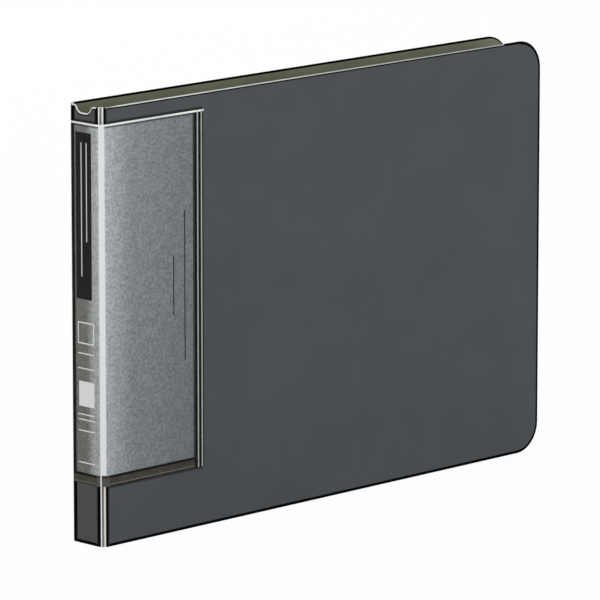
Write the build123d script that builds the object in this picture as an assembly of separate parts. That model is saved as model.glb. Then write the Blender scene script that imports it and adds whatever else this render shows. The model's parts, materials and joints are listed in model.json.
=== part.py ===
from build123d import *
import os
from math import atan, cos, degrees, radians, sqrt, tan

# Clear pocket display book, closed and standing on its lower edges. All sizes are in millimetres.
# X runs from the spine to the fore edge, Y from the front cover to the rear cover, Z up.
# The origin is the middle of the bounding box's bottom.

# Sheets and pocket leaves
SHEET_WIDTH = 182.0  # B6 sheet lying sideways
SHEET_HEIGHT = 128.0
SHEET_SIDE_PLAY = 4.0  # free width in a pocket beside the sheet
SHEET_TOP_PLAY = 3.0  # leaf height above the sheet
LEAF_COUNT = 20
POCKET_FILM = 0.10  # one of the two films of a leaf
POCKET_GAP = 0.24  # room for the sheet between the two films
LEAF_GAP = 0.25  # air between neighbouring leaves
SEAM_WIDTH = 3.0  # welded seam round three sides of a pocket
LEAF_CORNER = 2.5  # corner radius at the fore edge, under the seam width
BINDING_MARGIN = 9.0  # single film between the binding strip's crown and the seam
WAVE_DEPTH = 4.0  # wave cut in the top edge of the front film
WAVE_COUNT = 3

# Covers and spine, one creased sheet
COVER_SHEET = 1.0
COVER_GAP = 0.5  # between a cover and the nearest leaf
FORE_EDGE_OVERHANG = 9.5  # cover past the leaves
TOP_MARGIN = 8.0  # cover above the leaves
BOTTOM_MARGIN = 8.0  # cover below the leaves
CORNER_RADIUS = 10.5

# Creases: two score lines at each side of the spine, with a ridged strip between them
STRIP_WIDTH = 2.3  # from score line to score line
SCORE_BEAD = 0.20  # radius of the web that turns on the score line
SCORE_GAP = 0.10  # clearance round that web
RIDGE_DEPTH = 0.20  # valley between the two ridges of the strip

# Finger notch in the spine's top edge
NOTCH_WIDTH = 9.2
NOTCH_DEPTH = 2.5
NOTCH_FLOOR = 2.0  # flat part of the bottom
NOTCH_SHOULDER = 1.2  # radius where the notch meets the top edge

# Binding strip inside the spine
BINDING_CROWN = 1.6  # rise of its rounded face
BINDING_GAP = 0.2  # to the crease strips
ROOT_GROOVE = 0.20  # radius of the groove that takes the root of a leaf
ROOT_LAND = 0.10  # past the last groove

# Label and the clear sleeve that holds it
LABEL = 0.20
LABEL_PLAY = 0.06  # each side of the label in the sleeve
LABEL_FRONT = 40.3  # width on the front cover, from the score line
LABEL_TOP_GAP = 0.7  # label's top below the sleeve's mouth
LABEL_REAR_GAP = 0.2  # to the weld at the rear of the spine
SLEEVE_FILM = 0.15
SLEEVE_FRONT = 44.8  # width on the front cover, from the score line
SLEEVE_MOUTH_DROP = 5.6  # mouth below the cover's top edge
SLEEVE_BASE = 21.0  # lower edge above the cover's lower edge
BASE_WELD = 3.7
SIDE_WELD = 3.8
REAR_WELD = 0.9
WELD_RIDGE = 0.15  # height of the two ridges along the side weld
WELD_RIDGE_WIDTH = 0.7
WELD_RIDGE_INSET = 1.0  # ridge from each border of the side weld
CREASE_PLAY = 0.05  # between flat parts of label and film when the cover is folded back

# Stack of leaves and the book's outer size
LEAF_THICKNESS = 2 * POCKET_FILM + POCKET_GAP
LEAF_PITCH = LEAF_THICKNESS + LEAF_GAP
STACK = LEAF_COUNT * LEAF_PITCH - LEAF_GAP
THICKNESS = STACK + 2 * (COVER_GAP + COVER_SHEET)
HALF = COVER_SHEET / 2
NOSE = tan(radians(90.0 / 4))  # each score bends through half of the right angle, either way from flat
SCORE_SET = SCORE_GAP / cos(radians(90.0 / 4))  # start of the strip's nose from the score line
LEG = STRIP_WIDTH / sqrt(2)
SPINE_HALF = THICKNESS / 2 - HALF - LEG  # score line from the middle of the spine
SPINE_WIDTH = 2 * SPINE_HALF

# Binding strip profile, measured from the spine's inner face
ROOT_FIRST = -STACK / 2 + LEAF_THICKNESS - POCKET_FILM / 2
ROOT_LAST = ROOT_FIRST + (LEAF_COUNT - 1) * LEAF_PITCH
BINDING_EDGE = max(-ROOT_FIRST, ROOT_LAST) + ROOT_GROOVE + ROOT_LAND
BINDING_FOOT = SPINE_HALF - HALF * NOSE - BINDING_GAP * sqrt(2)
BINDING_RISE = BINDING_EDGE - BINDING_FOOT  # its flanks run beside the strips at 45 degrees
BINDING_RADIUS = (BINDING_EDGE**2 + BINDING_CROWN**2) / (2 * BINDING_CROWN)

# Leaf and cover extents
LEAF_HEIGHT = SHEET_HEIGHT + SHEET_TOP_PLAY + SEAM_WIDTH
COVER_HEIGHT = LEAF_HEIGHT + BOTTOM_MARGIN + TOP_MARGIN
LEAF_LOW = BOTTOM_MARGIN
LEAF_HIGH = LEAF_LOW + LEAF_HEIGHT
POCKET_WIDTH = SHEET_WIDTH + SHEET_SIDE_PLAY + 2 * SEAM_WIDTH
POCKET_START = COVER_SHEET + BINDING_RISE + BINDING_CROWN + BINDING_MARGIN  # from the spine's outer face
COVER_WIDTH = POCKET_START + POCKET_WIDTH + FORE_EDGE_OVERHANG

# Layers over the outer faces, measured from the middle of the cover sheet
LABEL_IN = HALF + LABEL_PLAY
LABEL_OUT = LABEL_IN + LABEL
FILM_IN = LABEL_OUT + LABEL_PLAY
FILM_OUT = FILM_IN + SLEEVE_FILM
CREASE = FILM_OUT * NOSE + CREASE_PLAY  # flat parts of label and film start this far from a score line
SLEEVE_HIGH = COVER_HEIGHT - SLEEVE_MOUTH_DROP
LABEL_LOW = SLEEVE_BASE + BASE_WELD
LABEL_HIGH = SLEEVE_HIGH - LABEL_TOP_GAP

# Places in the frame
SPINE_FACE = (FILM_OUT - HALF - COVER_WIDTH) / 2
FORE_EDGE = SPINE_FACE + COVER_WIDTH
MIDDLE_Y = (FILM_OUT - HALF + WELD_RIDGE) / 2
SPINE_MIDDLE = SPINE_FACE + HALF
SPINE_INNER = SPINE_FACE + COVER_SHEET
POCKET_NEAR = SPINE_FACE + POCKET_START
POCKET_FAR = POCKET_NEAR + POCKET_WIDTH
BINDING_CORNER = SPINE_INNER + BINDING_RISE
BINDING_CENTRE = BINDING_CORNER + BINDING_CROWN - BINDING_RADIUS

# A panel is its score line in plan, the way it runs from there and its outward normal
FRONT_SCORE = Vector(SPINE_MIDDLE, MIDDLE_Y - SPINE_HALF)
REAR_SCORE = Vector(SPINE_MIDDLE, MIDDLE_Y + SPINE_HALF)
FRONT_COVER_SCORE = FRONT_SCORE + Vector(LEG, -LEG)
REAR_COVER_SCORE = REAR_SCORE + Vector(LEG, LEG)
SPINE = (FRONT_SCORE, Vector(0, 1), Vector(-1, 0))
FRONT_STRIP = (FRONT_SCORE, Vector(1, -1).normalized(), Vector(-1, -1).normalized())
REAR_STRIP = (REAR_SCORE, Vector(1, 1).normalized(), Vector(-1, 1).normalized())
FRONT = (FRONT_COVER_SCORE, Vector(1, 0), Vector(0, -1))
REAR = (REAR_COVER_SCORE, Vector(1, 0), Vector(0, 1))


def plan(panel, along, out):
    """Point of the plan at a distance along a panel and a distance out from its middle."""
    start, direction, normal = panel
    return start + direction * along + normal * out


def upright(edges, low, high):
    """Solid standing on a closed outline of the plan."""
    return Pos(0, 0, low) * extrude(make_face(edges), amount=high - low, dir=(0, 0, 1))


def post(centre, radius, low, high):
    """Round upright at a point of the plan."""
    align = (Align.CENTER, Align.CENTER, Align.MIN)
    return Pos(centre.X, centre.Y, low) * Cylinder(radius, high - low, align=align)


def slab(x_range, y_range, z_range):
    """Box between two limits on each axis."""
    size = [high - low for low, high in (x_range, y_range, z_range)]
    return Pos(x_range[0], y_range[0], z_range[0]) * Box(*size, align=Align.MIN)


def layer(panel, along_range, out_range, low, high):
    """Flat sheet parallel to a panel."""
    corners = [
        plan(panel, along_range[0], out_range[0]),
        plan(panel, along_range[1], out_range[0]),
        plan(panel, along_range[1], out_range[1]),
        plan(panel, along_range[0], out_range[1]),
    ]
    return upright(Polyline(*corners, close=True), low, high)


def corner_arc(first, second, radius):
    """Arc round a score line from the outside of one panel to the outside of the next."""
    centre = second[0]
    halfway = (first[2] + second[2]).normalized()
    return ThreePointArc(
        centre + first[2] * radius, centre + halfway * radius, centre + second[2] * radius
    )


def fold_line(radius):
    """Line round the front corner from spine to cover, at one distance from the sheet's middle."""
    return [
        Line(plan(SPINE, CREASE, radius), plan(SPINE, 0, radius)),
        corner_arc(SPINE, FRONT_STRIP, radius),
        Line(plan(FRONT_STRIP, 0, radius), plan(FRONT_STRIP, STRIP_WIDTH, radius)),
        corner_arc(FRONT_STRIP, FRONT, radius),
        Line(plan(FRONT, 0, radius), plan(FRONT, CREASE, radius)),
    ]


def fold(inner, outer, low, high):
    """Bent sheet round the front corner."""
    ends = [
        Line(plan(SPINE, CREASE, inner), plan(SPINE, CREASE, outer)),
        Line(plan(FRONT, CREASE, inner), plan(FRONT, CREASE, outer)),
    ]
    return upright(fold_line(inner) + fold_line(outer) + ends, low, high)


def notch():
    """Cutter for the finger notch: two shoulders, two rounded corners and a flat bottom."""
    run = (NOTCH_WIDTH - NOTCH_FLOOR) / 2
    both_radii = (run**2 + NOTCH_DEPTH**2) / (2 * NOTCH_DEPTH)
    bottom_radius = both_radii - NOTCH_SHOULDER
    turn = degrees(2 * atan(NOTCH_DEPTH / run))
    half_width = NOTCH_WIDTH / 2
    entry = JernArc((-half_width, 0), (1, 0), NOTCH_SHOULDER, -turn)
    near_corner = JernArc(entry @ 1, entry % 1, bottom_radius, turn)
    bottom = Line(near_corner @ 1, near_corner @ 1 + Vector(NOTCH_FLOOR, 0))
    far_corner = JernArc(bottom @ 1, (1, 0), bottom_radius, turn)
    leave = JernArc(far_corner @ 1, far_corner % 1, NOTCH_SHOULDER, -turn)
    above = Polyline(
        leave @ 1, (half_width, NOTCH_DEPTH), (-half_width, NOTCH_DEPTH), (-half_width, 0)
    )
    outline = make_face([entry, near_corner, bottom, far_corner, leave, above])
    place = Plane((SPINE_FACE - HALF, MIDDLE_Y, COVER_HEIGHT), x_dir=(0, 1, 0), z_dir=(1, 0, 0))
    return extrude(place * outline, amount=2 * COVER_SHEET)


def spine_panel():
    """Flat spine with a web on each of its score lines and the finger notch."""
    nose = HALF * NOSE
    outline = Polyline(
        plan(SPINE, 0, 0),
        plan(SPINE, nose, HALF),
        plan(SPINE, SPINE_WIDTH - nose, HALF),
        plan(SPINE, SPINE_WIDTH, 0),
        plan(SPINE, SPINE_WIDTH - nose, -HALF),
        plan(SPINE, nose, -HALF),
        close=True,
    )
    panel = upright(outline, 0, COVER_HEIGHT)
    for score in (FRONT_SCORE, REAR_SCORE):
        panel += post(score, SCORE_BEAD, 0, COVER_HEIGHT)
    return panel - notch()


def crease_strip(panel):
    """Ridged strip between two score lines, hollowed at both edges for the webs."""
    valley = HALF - RIDGE_DEPTH
    first = SCORE_SET + valley * NOSE
    middle = STRIP_WIDTH / 2
    last = STRIP_WIDTH - first
    edges = [
        Line(plan(panel, SCORE_SET, 0), plan(panel, first, valley)),
        ThreePointArc(
            plan(panel, first, valley), plan(panel, (first + middle) / 2, HALF), plan(panel, middle, valley)
        ),
        ThreePointArc(
            plan(panel, middle, valley), plan(panel, (middle + last) / 2, HALF), plan(panel, last, valley)
        ),
        Polyline(
            plan(panel, last, valley),
            plan(panel, STRIP_WIDTH - SCORE_SET, 0),
            plan(panel, STRIP_WIDTH - SCORE_SET - HALF * NOSE, -HALF),
            plan(panel, SCORE_SET + HALF * NOSE, -HALF),
            plan(panel, SCORE_SET, 0),
        ),
    ]
    strip = upright(edges, 0, COVER_HEIGHT)
    for along in (0, STRIP_WIDTH):
        strip -= post(plan(panel, along, 0), SCORE_BEAD + SCORE_GAP, 0, COVER_HEIGHT)
    return strip


def cover(panel):
    """Cover board with a web on its score line and rounded corners at the fore edge."""
    nose = HALF * NOSE
    reach = FORE_EDGE - panel[0].X
    outline = Polyline(
        plan(panel, 0, 0),
        plan(panel, nose, HALF),
        plan(panel, reach, HALF),
        plan(panel, reach, -HALF),
        plan(panel, nose, -HALF),
        close=True,
    )
    board = upright(outline, 0, COVER_HEIGHT) + post(panel[0], SCORE_BEAD, 0, COVER_HEIGHT)
    return fillet(board.edges().filter_by(Axis.Y).group_by(Axis.X)[-1], CORNER_RADIUS)


def leaf_root(number):
    """Root of a leaf, on the crown of the binding strip."""
    across = ROOT_FIRST + number * LEAF_PITCH
    return Vector(BINDING_CENTRE + sqrt(BINDING_RADIUS**2 - across**2), MIDDLE_Y + across)


def binding_strip():
    """Strip on the spine's inner face, with a rounded face that has a groove for each leaf."""
    front_edge, rear_edge = MIDDLE_Y - BINDING_EDGE, MIDDLE_Y + BINDING_EDGE
    edges = [
        ThreePointArc(
            (BINDING_CORNER, front_edge),
            (BINDING_CORNER + BINDING_CROWN, MIDDLE_Y),
            (BINDING_CORNER, rear_edge),
        ),
        Polyline(
            (BINDING_CORNER, rear_edge),
            (SPINE_INNER, MIDDLE_Y + BINDING_FOOT),
            (SPINE_INNER, MIDDLE_Y - BINDING_FOOT),
            (BINDING_CORNER, front_edge),
        ),
    ]
    strip = upright(edges, LEAF_LOW, LEAF_HIGH)
    for number in range(LEAF_COUNT):
        strip -= post(leaf_root(number), ROOT_GROOVE, LEAF_LOW, LEAF_HIGH)
    return strip


def rear_film(number):
    """Rear film of a leaf with a round root, and the three seams that hold the front film."""
    root = leaf_root(number)
    face = root.Y - POCKET_FILM / 2
    back = face + POCKET_FILM
    round_root = ThreePointArc((root.X, back), (root.X - POCKET_FILM / 2, root.Y), (root.X, face))
    straight = Polyline((root.X, face), (POCKET_FAR, face), (POCKET_FAR, back), (root.X, back))
    film = upright([round_root, straight], LEAF_LOW, LEAF_HIGH)
    film = fillet(film.edges().filter_by(Axis.Y).group_by(Axis.X)[-1], LEAF_CORNER)
    depth = (face - POCKET_GAP, face)
    above = (LEAF_LOW + SEAM_WIDTH, LEAF_HIGH - WAVE_DEPTH)
    base_seam = slab((POCKET_NEAR, POCKET_FAR), depth, (LEAF_LOW, LEAF_LOW + SEAM_WIDTH))
    outer_corner = base_seam.edges().filter_by(Axis.Y).group_by(Axis.X)[-1].sort_by(Axis.Z)[0]
    base_seam = fillet(outer_corner, LEAF_CORNER)
    near_seam = slab((POCKET_NEAR, POCKET_NEAR + SEAM_WIDTH), depth, above)
    far_seam = slab((POCKET_FAR - SEAM_WIDTH, POCKET_FAR), depth, above)
    return Compound(children=[film, base_seam, near_seam, far_seam])


def front_film(number):
    """Front film of a leaf, with a wave along its top edge."""
    face = leaf_root(number).Y - POCKET_FILM / 2 - POCKET_GAP
    half_wave = POCKET_WIDTH / (2 * WAVE_COUNT)
    radius = (half_wave**2 + WAVE_DEPTH**2) / (4 * WAVE_DEPTH)
    turn = degrees(2 * atan(WAVE_DEPTH / half_wave))
    wave = [JernArc((POCKET_NEAR, LEAF_HIGH), (1, 0), radius, -turn)]
    for half in range(2 * WAVE_COUNT - 1):
        way = 1 if half % 2 == 0 else -1
        wave.append(JernArc(wave[-1] @ 1, wave[-1] % 1, radius, way * 2 * turn))
    wave.append(JernArc(wave[-1] @ 1, wave[-1] % 1, radius, -turn))
    sides = Polyline(
        wave[-1] @ 1, (POCKET_FAR, LEAF_LOW), (POCKET_NEAR, LEAF_LOW), (POCKET_NEAR, LEAF_HIGH)
    )
    place = Plane((0, face, 0), x_dir=(1, 0, 0), z_dir=(0, -1, 0))
    film = extrude(place * make_face(wave + [sides]), amount=POCKET_FILM)
    outer_corner = film.edges().filter_by(Axis.Y).group_by(Axis.Z)[0].sort_by(Axis.X)[-1]
    return fillet(outer_corner, LEAF_CORNER)


def sleeve_front_film():
    """Clear film on the front cover with two ridges along its side weld."""
    film = layer(FRONT, (CREASE, SLEEVE_FRONT), (FILM_IN, FILM_OUT), SLEEVE_BASE, SLEEVE_HIGH)
    near_ridge = SLEEVE_FRONT - SIDE_WELD + WELD_RIDGE_INSET
    far_ridge = SLEEVE_FRONT - WELD_RIDGE_INSET
    for along in (near_ridge, far_ridge):
        start = plan(FRONT, along - WELD_RIDGE_WIDTH / 2, FILM_OUT)
        end = plan(FRONT, along + WELD_RIDGE_WIDTH / 2, FILM_OUT)
        arc = ThreePointArc(start, plan(FRONT, along, FILM_OUT + WELD_RIDGE), end)
        film += upright([arc, Line(end, start)], SLEEVE_BASE, SLEEVE_HIGH)
    return film


def welds(panel, end, side_width):
    """Welds along the base and the closed side of the sleeve on one panel."""
    depth = (HALF, FILM_IN)
    base = layer(panel, (CREASE, end), depth, SLEEVE_BASE, LABEL_LOW)
    side = layer(panel, (end - side_width, end), depth, LABEL_LOW, SLEEVE_HIGH)
    return Compound(children=[base, side])


SPINE_END = SPINE_WIDTH - CREASE  # flat parts of label and film end this far along the spine
LABEL_DEPTH = (LABEL_IN, LABEL_OUT)
FILM_DEPTH = (FILM_IN, FILM_OUT)
LABEL_SPINE_END = SPINE_END - REAR_WELD - LABEL_REAR_GAP

nodes = {
    "spine_panel": spine_panel(),
    "front_crease_strip": crease_strip(FRONT_STRIP),
    "rear_crease_strip": crease_strip(REAR_STRIP),
    "front_cover": cover(FRONT),
    "rear_cover": cover(REAR),
    "binding_strip": binding_strip(),
    "label_spine": layer(SPINE, (CREASE, LABEL_SPINE_END), LABEL_DEPTH, LABEL_LOW, LABEL_HIGH),
    "label_fold": fold(LABEL_IN, LABEL_OUT, LABEL_LOW, LABEL_HIGH),
    "label_front": layer(FRONT, (CREASE, LABEL_FRONT), LABEL_DEPTH, LABEL_LOW, LABEL_HIGH),
    "sleeve_spine_film": layer(SPINE, (CREASE, SPINE_END), FILM_DEPTH, SLEEVE_BASE, SLEEVE_HIGH),
    "sleeve_fold_film": fold(FILM_IN, FILM_OUT, SLEEVE_BASE, SLEEVE_HIGH),
    "sleeve_front_film": sleeve_front_film(),
    "sleeve_spine_weld": welds(SPINE, SPINE_END, REAR_WELD),
    "sleeve_front_weld": welds(FRONT, SLEEVE_FRONT, SIDE_WELD),
}
for number in range(LEAF_COUNT):
    nodes[f"pocket_{number + 1:02d}_rear_film"] = rear_film(number)
    nodes[f"pocket_{number + 1:02d}_front_film"] = front_film(number)

os.makedirs("parts", exist_ok=True)
for name, shape in nodes.items():
    export_step(shape, f"parts/{name}.step")
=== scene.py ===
import json
import math

import bmesh
import bpy
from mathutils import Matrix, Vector


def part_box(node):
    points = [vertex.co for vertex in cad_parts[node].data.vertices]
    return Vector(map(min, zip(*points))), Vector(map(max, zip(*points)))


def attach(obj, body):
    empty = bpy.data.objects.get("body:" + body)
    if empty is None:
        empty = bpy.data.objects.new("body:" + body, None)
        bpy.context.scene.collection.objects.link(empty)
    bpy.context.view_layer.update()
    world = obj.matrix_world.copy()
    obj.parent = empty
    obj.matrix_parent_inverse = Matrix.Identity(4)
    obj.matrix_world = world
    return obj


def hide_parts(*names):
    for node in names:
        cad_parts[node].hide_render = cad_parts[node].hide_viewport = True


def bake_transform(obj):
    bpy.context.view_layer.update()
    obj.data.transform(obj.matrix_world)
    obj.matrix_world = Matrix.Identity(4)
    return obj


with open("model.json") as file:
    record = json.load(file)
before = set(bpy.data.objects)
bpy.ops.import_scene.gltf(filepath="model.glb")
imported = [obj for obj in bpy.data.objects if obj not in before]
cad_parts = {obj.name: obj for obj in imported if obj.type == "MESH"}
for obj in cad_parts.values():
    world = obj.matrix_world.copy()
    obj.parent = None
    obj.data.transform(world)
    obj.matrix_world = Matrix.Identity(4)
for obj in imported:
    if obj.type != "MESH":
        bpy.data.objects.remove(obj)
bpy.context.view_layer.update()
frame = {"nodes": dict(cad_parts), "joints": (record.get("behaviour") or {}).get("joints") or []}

# Clear pocket display book: the creased cover sheet, the label in its clear sleeve and the pocket leaves.
# Lengths are in metres. X runs from the spine to the fore edge, Y from the front to the rear, Z up.

MM = 0.001

# Cover sheet, read from the frame
hinges = {joint["name"]: joint for joint in frame["joints"]}


def score_line(name):
    """Place of a crease's score line in plan."""
    x, y, _ = hinges[name]["pos_m"]
    return Vector((x, y, 0))


FRONT_SCORE = score_line("front_crease_hinge")
FRONT_COVER_SCORE = score_line("front_cover_hinge")
REAR_SCORE = score_line("rear_crease_hinge")
REAR_COVER_SCORE = score_line("rear_cover_hinge")
SPINE_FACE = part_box("spine_panel")[0].x
HALF = FRONT_SCORE.x - SPINE_FACE  # half the cover sheet's thickness
FORE_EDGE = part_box("front_cover")[1].x
COVER_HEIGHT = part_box("front_cover")[1].z
MIDDLE_Y = (FRONT_SCORE.y + REAR_SCORE.y) / 2
STRIP_WIDTH = (FRONT_COVER_SCORE - FRONT_SCORE).length
FOLD = math.radians(45)  # turn at each of the two score lines of a crease
NOSE = HALF * math.tan(FOLD / 2)  # bevel of a panel beside a score line
SCORE_GAP = 0.11 * MM  # between the noses of two panels

# A panel is its score line, the way it runs from there and its outward normal
SPINE = (FRONT_SCORE, Vector((0, 1, 0)), Vector((-1, 0, 0)))
FRONT_STRIP = (FRONT_SCORE, Vector((1, -1, 0)).normalized(), Vector((-1, -1, 0)).normalized())
REAR_STRIP = (REAR_SCORE, Vector((1, 1, 0)).normalized(), Vector((-1, 1, 0)).normalized())
FRONT = (FRONT_COVER_SCORE, Vector((1, 0, 0)), Vector((0, -1, 0)))
REAR = (REAR_COVER_SCORE, Vector((1, 0, 0)), Vector((0, 1, 0)))

# Cover sheet details
CORNER_RADIUS = 10.5 * MM
EDGE_ROUND = 0.2 * MM  # rounding of the sheet's cut edges
BRIGHT_RIM = 0.1 * MM  # painted highlight: near-white border on a cover's outer face along the top cut
NOTCH_RIM = 0.22 * MM  # the same painted highlight on the spine, round the finger notch
DARK_RIM = 0.45 * MM  # border of painted shade inside that
EDGE_SHADE = 0.35 * MM  # second border of painted shade, along the bottom and the far edges
RIMS = NOTCH_RIM + DARK_RIM + EDGE_SHADE
REAR_SHADE = 1.5 * MM  # painted shade along the spine's rear edge
BRIGHT_START = 8.0 * MM  # stretch beside the crease over which the painted highlight on the top cut comes in
BRIGHT_END = FORE_EDGE - 1.8 * CORNER_RADIUS  # where the painted highlight on the top cut stops
CREASE_GREY = 0.9  # how far the top cut's painted highlight is greyed beside the crease
FAR_GREY = 0.6  # and how far it is greyed where the painted highlight stops
RIDGE_DEPTH = 0.2 * MM  # height of the two ridges along a crease strip
RIDGE_WIDTH = 0.66 * MM
CREASE_WANDER = 0.5  # how far the mottle moves the painted highlight and painted light lines of a crease strip
CREASE_RELIEF = 0.01 * MM
NOTCH_WIDTH = 9.2 * MM
NOTCH_DEPTH = 2.5 * MM
NOTCH_FLOOR = 2.0 * MM
NOTCH_SHOULDER = 1.2 * MM

# Label and sleeve, read from the frame
label_low, label_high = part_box("label_spine")
film_low, film_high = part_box("sleeve_spine_film")
LABEL_FRONT_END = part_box("label_front")[1].x - FRONT_COVER_SCORE.x
FILM_FRONT_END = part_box("sleeve_front_film")[1].x - FRONT_COVER_SCORE.x
LABEL_OUT = FRONT_SCORE.x - (label_low.x + label_high.x) / 2  # middle of the label from the sheet's middle
LABEL_THICKNESS = label_high.x - label_low.x
LABEL_SPINE_END = label_high.y - FRONT_SCORE.y
FILM_LIFT = 0.02 * MM  # keeps the film's inner face off the welds under it
FILM_OUT = FRONT_SCORE.x - (film_low.x + film_high.x - FILM_LIFT) / 2
FILM_THICKNESS = film_high.x - film_low.x - FILM_LIFT
FILM_SPINE_END = film_high.y - FRONT_SCORE.y
LABEL_FLAT = STRIP_WIDTH / 2 + LABEL_OUT * FOLD  # where the flats start, from the crease strip's middle
FILM_FLAT = STRIP_WIDTH / 2 + FILM_OUT * FOLD
BASE_WELD_TOP = label_low.z
WELD_LAP = 0.1 * MM  # how far the film's fold at the base laps over the base weld
WELD_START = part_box("sleeve_front_weld")[0].x - FRONT_COVER_SCORE.x + WELD_LAP  # on the front
WELD_RIDGES = (FILM_FRONT_END - 2.8 * MM, FILM_FRONT_END - 1.0 * MM)  # along the side weld
WELD_RIDGE = 0.15 * MM
WELD_RIDGE_WIDTH = 0.7 * MM
BEND_SIDE = 0.8  # share of that on each flat beside the bend, in radii
BEND_STEPS = 6  # strips in it
SUPPORT = 0.1 * MM  # narrow strip beside each bend and edge, which keeps the long flats flat in shading
LIP_HEIGHT = 0.65 * MM  # bead along the sleeve's mouth
LIP_THICKNESS = 0.32 * MM

# Lines along the sleeve, with painted shadows and highlights
SLEEVE_SHADE = 0.85 * MM  # painted shadow lines on the cover just above the mouth and below the foot
SLEEVE_FADE = 0.3 * MM  # half the width over which they fade out
BASE_LINE = 0.9 * MM  # height of the black painted shadow line along the top of the base weld
FOOT_LINE = 0.25 * MM  # height of the black painted shadow line along its foot
PALE_LINE = (0.4 * MM, 0.8 * MM)  # limits of the painted highlight line above that
LINE_SOFT = 0.08 * MM
FOLD_CREST = (-0.85 * MM, -0.4 * MM)  # painted highlight line on the fold at the base, from the crease strip's middle
CREST_SOFT = 0.12 * MM
PRESSED_HALF = 0.2 * MM  # half the width of the painted highlight on each ridge of the side weld
PRESSED_SOFT = 0.15 * MM
PRESSED_COVER = 0.85  # how much the film hides where its ridges carry the painted highlight or where it is folded
FILM_SOFT = 0.1 * MM
PAINT_LAP = 0.4 * MM  # the fold's colour reaches past its cover, so that no pale seam shows
WELD_RELIEF = 0.006 * MM

# Label print, and its painted light and shadows: limits along the spine or the front, heights and widths in
# millimetres
TITLE_STRIP = ((2.3, 9.9), (84.3, 141.0))
TITLE_RULES = ((7.2, (92.0, 137.5)), (4.7, (104.0, 137.5)))
NUMBER_BOX = ((1.4, 9.4), (69.0, 76.5))
LABEL_SQUARE = ((1.4, 9.0), (47.6, 56.2))
SHORT_RULES = (65.7, 60.6, 44.8, 43.0, 39.2, 28.2)  # heights of the short rules across the spine
FRONT_RULES = ((36.1, (59.1, 110.8)), (30.9, (75.4, 96.0)))
LIGHT_RULE = 0.4
DARK_RULE = 0.5
FRAME_LINE = 0.45
NEAR_FADE = (-3, 14)  # painted light on the front, from pale at the fold to grey
FAR_FADE = (12, 38)  # and on to a darker grey
SPINE_FADE = (5.4, 1.4)  # painted light on the spine, from grey to pale at the fold
REAR_SHADOW = (9.9, 10.9)  # painted shadow: where the label turns black at its rear edge
FAR_SHADOW = (39.9, 40.1)  # and the same painted shadow at its far edge

# Label card
PRINT_SOFT = 0.05 * MM  # blur of a printed edge
FOLD_HIGHLIGHT = (-0.85 * MM, 1.2 * MM)  # limits of the painted highlight on the fold, from the crease strip's middle
FOLD_SOFT = 0.15 * MM
TONE_SOFT = 0.1 * MM  # between the spine's and the front's tones
MOUTH_SHADE = (0.9 * MM, 0.35 * MM)  # start and end of the shade under the sleeve's mouth, from the top
MOUTH_DIM = 0.25  # brightness in that shade
FOOT_DIM, TOP_GAIN = 0.97, 1.13  # painted light: brightness at the label's foot and top
FIBRE_SHARE, CLOUD_SHARE = 0.7, 0.3  # fine and slow noise in its speckle
SPECK_SPREAD = (0.34, 0.66)  # range of that noise that the speckle is spread over
SPECK = (0.76, 1.24)  # range of the speckle's brightness
CARD_RELIEF = 0.006 * MM

# Pocket films, read from the frame
pocket_low, pocket_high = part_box("pocket_01_front_film")
SEAM_WIDTH = 3.0 * MM  # welded seam round three sides of a pocket
SEAM_PITCH = 1.2 * MM  # slanting ribs pressed into the seams
SEAM_SOFT = 0.1 * MM
SEAM_COVER = 0.14  # how much a seam hides
RIB_RELIEF = 5.0  # height of the ribs, as a multiple of the film's emboss
CUT_SLOPE = 0.5  # faces that look less than this along Y are the film's cut edges

# Clear films
EMBOSS_SCALE = 900.0
FILM_ROUGHNESS = (0.08, 0.16)
FILM_RELIEF = 0.004 * MM
FILM_WHITE = (236, 238, 236)
SLEEVE_HAZE = 0.004
POCKET_HAZE = 0.03
GLANCING_REFLECTION = 0.3
GLANCING = (0.4, 1.0)  # range of the view's slant over which the haze grows, as a painted reflection

# Shared by the finishes and the meshes
NOISE_SPREAD = (0.3, 0.7)  # range of a noise that a finish spreads its change over
SHEET_RELIEF = 0.012 * MM
WHITE = (1, 1, 1, 1)
# Black of the painted shadows along the sleeve's welds and edges
SHADOW_BLACK = (9, 9, 9)
MERGE = 0.001 * MM  # points nearer than this are one
FACING = 0.999  # least cosine at which a face looks along a direction
SMOOTH_ANGLE = math.radians(35)
CORNER_STEPS = 20
COVER_EDGE_STEPS = 4
SPINE_EDGE_STEPS = 3
SHOULDER_STEPS = 8
NOTCH_STEPS = 10
RIDGE_STEPS = 8
SCORE_STEPS = 8
WELD_RIDGE_STEPS = 6

# Camera at the photograph's viewing angle
AZIMUTH = math.radians(-44.862)
ELEVATION = math.radians(11.358)
AIM = Vector((-5.652, 0, 69.742)) * MM
DISTANCE = 2052.85 * MM
LENS = 354.874
SENSOR = 36.0

# Studio
AMBIENT = 0.48  # strength of the surroundings as light
SHADOW_SHARE = 0.04  # share of its own shading that the floor shows
FLOOR_SIZE = 6.0
LAMP_SIZE = 0.9
FILM_LAYERS = 128  # see-through faces that one look into the open book may pass


def tone(red, green, blue):
    """Display colour from 0 to 255 as a linear colour with alpha."""
    linear = []
    for value in (red, green, blue):
        share = value / 255
        linear.append(share / 12.92 if share <= 0.04045 else ((share + 0.055) / 1.055) ** 2.4)
    return (*linear, 1.0)


# Node helpers
def wire(tree, value, socket):
    """Sets a socket, or links it if the value is another node's output."""
    if isinstance(value, bpy.types.NodeSocket):
        tree.links.new(value, socket)
    else:
        socket.default_value = value


def add(tree, kind, settings=None, **inputs):
    """New shader node with its settings and inputs; an input's spaces are underscores here."""
    made = tree.nodes.new("ShaderNode" + kind)
    for name, value in (settings or {}).items():
        setattr(made, name, value)
    for name, value in inputs.items():
        wire(tree, value, made.inputs[name.replace("_", " ")])
    return made


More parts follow.
